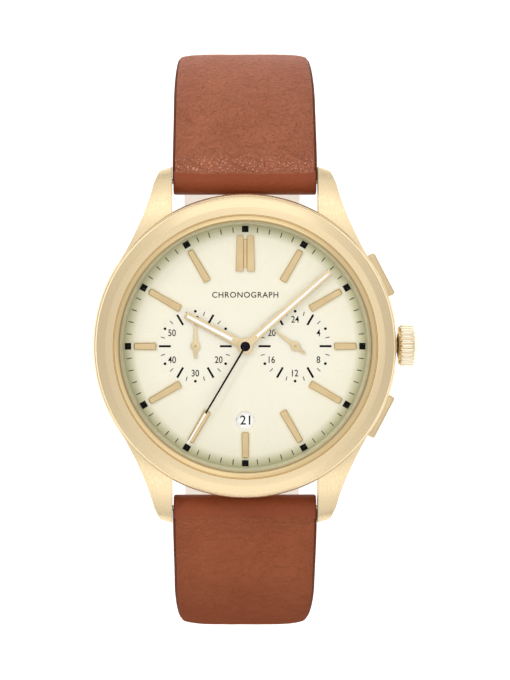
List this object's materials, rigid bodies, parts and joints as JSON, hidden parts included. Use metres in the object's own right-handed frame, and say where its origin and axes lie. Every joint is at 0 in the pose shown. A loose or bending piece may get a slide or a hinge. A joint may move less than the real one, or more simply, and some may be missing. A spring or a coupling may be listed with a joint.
{
  "type": "chronograph wristwatch",
  "caption": "Round quartz chronograph wristwatch with two sub-dials, a date window, crown, push buttons and a buckled leather strap, lying dial up.",
  "frame": {"origin": "bottom centre of the bounding box, on the surface that the buckled strap lies on; the hands' axis is vertical, 1.425 mm towards 9 o'clock from it", "axes": "+Z is the dial's outward normal, +Y points to 12 o'clock, +X to 3 o'clock and the crown"},
  "size_m": [0.0464, 0.086, 0.056],
  "materials": {
    "gold_satin": "satin-brushed champagne gold plating on steel",
    "gold_polished": "polished champagne gold plating",
    "steel": "brushed",
    "brass": "machined",
    "dial_cream": "champagne sunburst lacquer",
    "hand_black": "gloss black",
    "leather_tan": "grained tan calf leather",
    "glass": "clear mineral glass",
    "nylon": "moulded",
    "rubber": "moulded",
    "circuit": "solder-masked board",
    "copper": "enamelled copper winding",
    "date_white": "white print base"
  },
  "bodies": {
    "case": {"case_middle": "gold_satin", "bezel": "gold_satin", "crystal": "glass", "crystal_gasket": "nylon", "dial_flange": "gold_polished", "dial": "dial_cream", "index_01": "gold_polished", "index_02": "gold_polished", "index_03": "gold_polished", "index_04": "gold_polished", "index_05": "gold_polished", "index_06": "gold_polished", "index_07": "gold_polished", "index_08": "gold_polished", "index_09": "gold_polished", "index_10": "gold_polished", "index_11": "gold_polished", "index_12": "gold_polished", "case_back": "steel", "case_back_gasket": "rubber", "crown_tube": "gold_polished", "movement_holder": "nylon", "main_plate": "brass", "train_bridge": "steel", "circuit_board": "circuit", "battery": "steel", "battery_clamp": "steel", "coil": "copper", "stator": "steel", "pusher_spring_2h": "steel", "pusher_spring_4h": "steel", "spring_bar_12h": "steel", "spring_bar_6h": "steel"},
    "minutes": {"centre_wheel": "brass", "minute_hand": "gold_polished"},
    "minute_gear": {"minute_wheel": "brass"},
    "hours": {"hour_wheel": "brass", "hour_hand": "gold_polished"},
    "day_night": {"day_night_wheel": "brass", "day_night_hand": "gold_polished"},
    "chrono_seconds": {"chrono_seconds_wheel": "brass", "chrono_seconds_hand": "hand_black"},
    "chrono_minutes": {"chrono_minutes_wheel": "brass", "chrono_minutes_hand": "gold_polished"},
    "date": {"date_disc": "date_white"},
    "motor_rotor": {"rotor": "steel"},
    "clutch": {"setting_pinion": "steel"},
    "crown_and_stem": {"crown": "gold_polished", "winding_stem": "steel", "crown_gasket": "rubber"},
    "lever": {"setting_lever": "steel"},
    "button_2h": {"pusher_2h": "gold_polished"},
    "button_4h": {"pusher_4h": "gold_polished"},
    "upper_strap": {"strap_12h": "leather_tan", "keeper_fixed": "leather_tan"},
    "lower_strap": {"strap_6h": "leather_tan"},
    "loose_keeper": {"keeper_free": "leather_tan"},
    "buckle": {"buckle_frame": "gold_polished", "buckle_spring_bar": "steel"},
    "tang": {"buckle_tang": "gold_polished"}
  },
  "joints": [
    {"name": "minute_turn", "type": "hinge", "parent": "case", "child": "minutes", "pos_m": [-0.00143, 0, 0.05357], "axis": [0, 0, -1], "continuous": true},
    {"name": "minute_wheel_turn", "type": "hinge", "parent": "case", "child": "minute_gear", "pos_m": [-0.00143, 0.0024, 0.05157], "axis": [0, 0, -1], "continuous": true},
    {"name": "hour_turn", "type": "hinge", "parent": "case", "child": "hours", "pos_m": [-0.00143, 0, 0.05327], "axis": [0, 0, -1], "continuous": true},
    {"name": "day_night_turn", "type": "hinge", "parent": "case", "child": "day_night", "pos_m": [0.00571, 0, 0.05307], "axis": [0, 0, -1], "continuous": true},
    {"name": "chrono_seconds_turn", "type": "hinge", "parent": "case", "child": "chrono_seconds", "pos_m": [-0.00143, 0, 0.05387], "axis": [0, 0, -1], "continuous": true},
    {"name": "chrono_minutes_turn", "type": "hinge", "parent": "case", "child": "chrono_minutes", "pos_m": [-0.00856, 0, 0.05307], "axis": [0, 0, -1], "continuous": true},
    {"name": "date_turn", "type": "hinge", "parent": "case", "child": "date", "pos_m": [-0.00143, 0, 0.05207], "axis": [0, 0, -1], "continuous": true},
    {"name": "rotor_turn", "type": "hinge", "parent": "case", "child": "motor_rotor", "pos_m": [-0.00103, -0.0102, 0.05027], "axis": [0, 0, -1], "continuous": true},
    {"name": "crown_turn", "type": "hinge", "parent": "case", "child": "clutch", "pos_m": [0.00797, 0, 0.05017], "axis": [1, 0, 0], "continuous": true},
    {"name": "crown_pull", "type": "slide", "parent": "clutch", "child": "crown_and_stem", "axis": [1, 0, 0], "range_m": [0, 0.001]},
    {"name": "setting_lever_turn", "type": "hinge", "parent": "case", "child": "lever", "pos_m": [0.01117, -0.0034, 0.04927], "axis": [0, 0, -1], "range_deg": [0, 18]},
    {"name": "pusher_2h_press", "type": "slide", "parent": "case", "child": "button_2h", "axis": [-0.887, -0.4617, 0], "range_m": [0, 0.0008], "stiffness_N_per_m": 1500, "springref_m": -0.0008, "deforming": ["pusher_spring_2h"]},
    {"name": "pusher_4h_press", "type": "slide", "parent": "case", "child": "button_4h", "axis": [-0.887, 0.4617, 0], "range_m": [0, 0.0008], "stiffness_N_per_m": 1500, "springref_m": -0.0008, "deforming": ["pusher_spring_4h"]},
    {"name": "strap_12h_pivot", "type": "hinge", "parent": "case", "child": "upper_strap", "pos_m": [-0.00143, 0.0236, 0.04767], "axis": [1, 0, 0], "range_deg": [0, 70], "deforming": ["strap_12h"]},
    {"name": "strap_6h_pivot", "type": "hinge", "parent": "case", "child": "lower_strap", "pos_m": [-0.00143, -0.0236, 0.04767], "axis": [-1, 0, 0], "range_deg": [0, 70], "deforming": ["strap_6h"]},
    {"name": "buckle_pivot", "type": "hinge", "parent": "upper_strap", "child": "buckle", "pos_m": [-0.00143, 0.003, 0.0046], "axis": [1, 0, 0], "range_deg": [0, 30]},
    {"name": "tang_pivot", "type": "hinge", "parent": "buckle", "child": "tang", "pos_m": [-0.00143, 0.003, 0.0046], "axis": [1, 0, 0], "range_deg": [0, 50]},
    {"name": "keeper_slide", "type": "slide", "parent": "upper_strap", "child": "loose_keeper", "axis": [0, 1, 0], "range_m": [-0.0025, 0.0006]}
  ],
  "couplings": [
    {"joint": "hour_turn", "follows": "minute_turn", "ratio": 0.083333},
    {"joint": "minute_wheel_turn", "follows": "minute_turn", "ratio": -0.33333},
    {"joint": "day_night_turn", "follows": "minute_turn", "ratio": 0.041667},
    {"joint": "chrono_minutes_turn", "follows": "chrono_seconds_turn", "ratio": 0.016667},
    {"joint": "setting_lever_turn", "follows": "crown_pull", "rad_per_m": 300}
  ]
}
